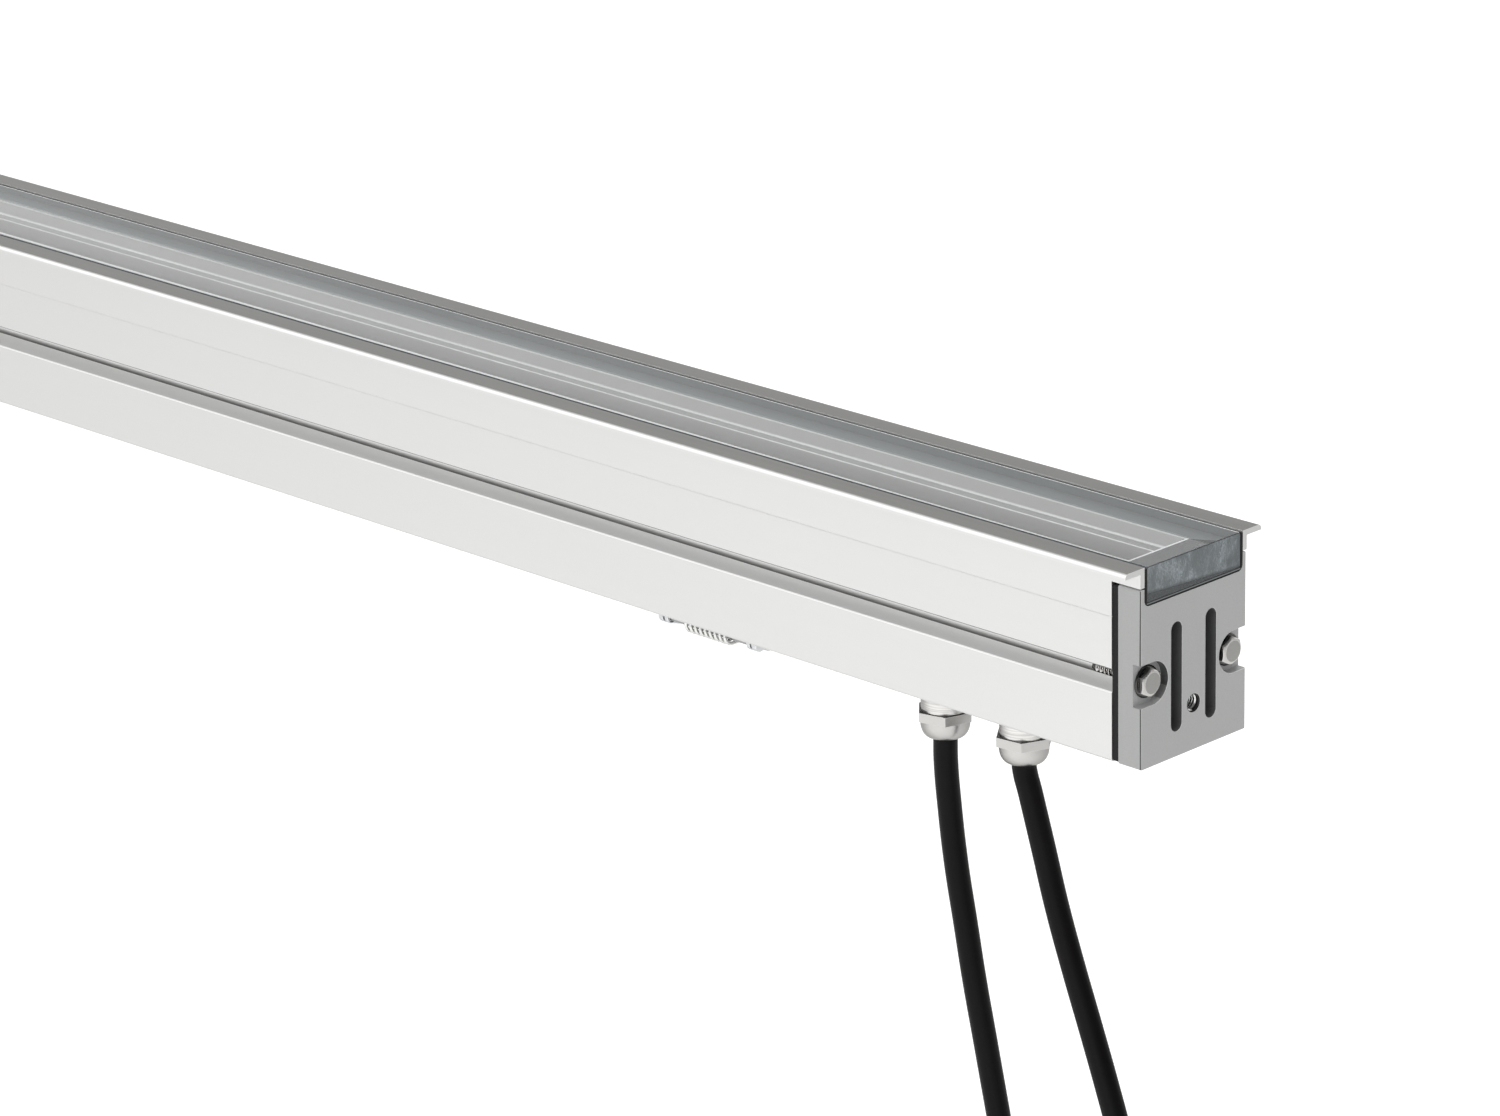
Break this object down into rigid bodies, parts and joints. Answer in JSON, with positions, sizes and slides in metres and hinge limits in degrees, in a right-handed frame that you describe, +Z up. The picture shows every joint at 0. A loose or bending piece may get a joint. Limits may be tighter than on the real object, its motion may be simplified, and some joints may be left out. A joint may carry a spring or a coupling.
{
  "type": "outdoor wall washer light",
  "caption": "Long recessed outdoor wall washer light with a flush glass cover between two lips, cast end plates, cable glands and sprung retaining catches.",
  "frame": {"origin": "middle of the plane in which the undersides of the two lips rest on the rim of the recess", "axes": "+X along the body towards the end with the two cable glands, +Y towards the side that the retaining catches reach out to, +Z up, out of the glass"},
  "size_m": [1.0038, 0.0682, 0.4749],
  "materials": {
    "anodised_aluminium": "satin anodised extrusion with fine lengthwise brushing",
    "cover_glass": "clear thick glass, ground and frosted at its ends",
    "grey_band": "satin grey band printed under the glass",
    "black_rubber": "matte silicone rubber",
    "reflector_white": "satin pale grey paint",
    "board_white": "white solder mask",
    "led_yellow": "yellow phosphor under clear resin",
    "lens_clear": "clear moulded acrylic",
    "stainless_steel": "bright stainless steel",
    "ivory_plastic": "ivory moulded nylon",
    "lead_insulation": "smooth core insulation",
    "cast_aluminium": "die-cast, matte grey coating",
    "white_plastic": "fine-grained white moulding",
    "lid_aluminium": "plain sheet",
    "terminal_brass": "plain brass",
    "nickel_plate": "satin nickel plate",
    "cable_black": "smooth matte black sheath",
    "ferrule_tin": "tinned copper",
    "catch_steel": "zinc-plated steel sheet",
    "pin_steel": "dark plain steel",
    "spring_steel": "drawn spring wire"
  },
  "bodies": {
    "light": {"housing": "anodised_aluminium", "glass": "cover_glass", "glass_border": "grey_band", "glass_seal": "black_rubber", "reflector_rails": "reflector_white", "reflector_ends": "reflector_white", "led_boards": "board_white", "led_chips": "led_yellow", "lens_bars": "lens_clear", "board_screws": "stainless_steel", "board_plug": "ivory_plastic", "led_leads": "lead_insulation", "end_plate_right": "cast_aluminium", "end_plate_left": "cast_aluminium", "end_gasket_right": "black_rubber", "end_gasket_left": "black_rubber", "end_screws_right": "stainless_steel", "end_screws_left": "stainless_steel", "driver_case": "white_plastic", "driver_lid": "lid_aluminium", "driver_screws": "stainless_steel", "terminal_block": "white_plastic", "terminal_screws": "terminal_brass", "supply_leads": "lead_insulation", "link_leads": "lead_insulation", "driver_leads": "lead_insulation", "gland_bodies": "nickel_plate", "gland_nuts": "nickel_plate", "gland_seals": "black_rubber", "gland_rings": "black_rubber", "gland_lock_nuts": "nickel_plate", "cable_ends_inside": "cable_black", "supply_cable": "cable_black", "link_cable": "cable_black", "cable_cores": "lead_insulation", "cable_ferrules": "ferrule_tin", "catch_brackets": "catch_steel", "catch_pins": "pin_steel", "bracket_screws": "stainless_steel", "spring_right": "spring_steel", "spring_left": "spring_steel"},
    "right_catch": {"catch_right": "catch_steel"},
    "left_catch": {"catch_left": "catch_steel"}
  },
  "joints": [
    {"name": "right_catch_hinge", "type": "hinge", "parent": "light", "child": "right_catch", "pos_m": [0.299, 0, -0.0715], "axis": [1, 0, 0], "range_deg": [0, 18], "stiffness_Nm_per_rad": 0.16, "springref_deg": -17.19, "deforming": ["spring_right"]},
    {"name": "left_catch_hinge", "type": "hinge", "parent": "light", "child": "left_catch", "pos_m": [-0.299, 0, -0.0715], "axis": [1, 0, 0], "range_deg": [0, 18], "stiffness_Nm_per_rad": 0.16, "springref_deg": -17.19, "deforming": ["spring_left"]}
  ]
}
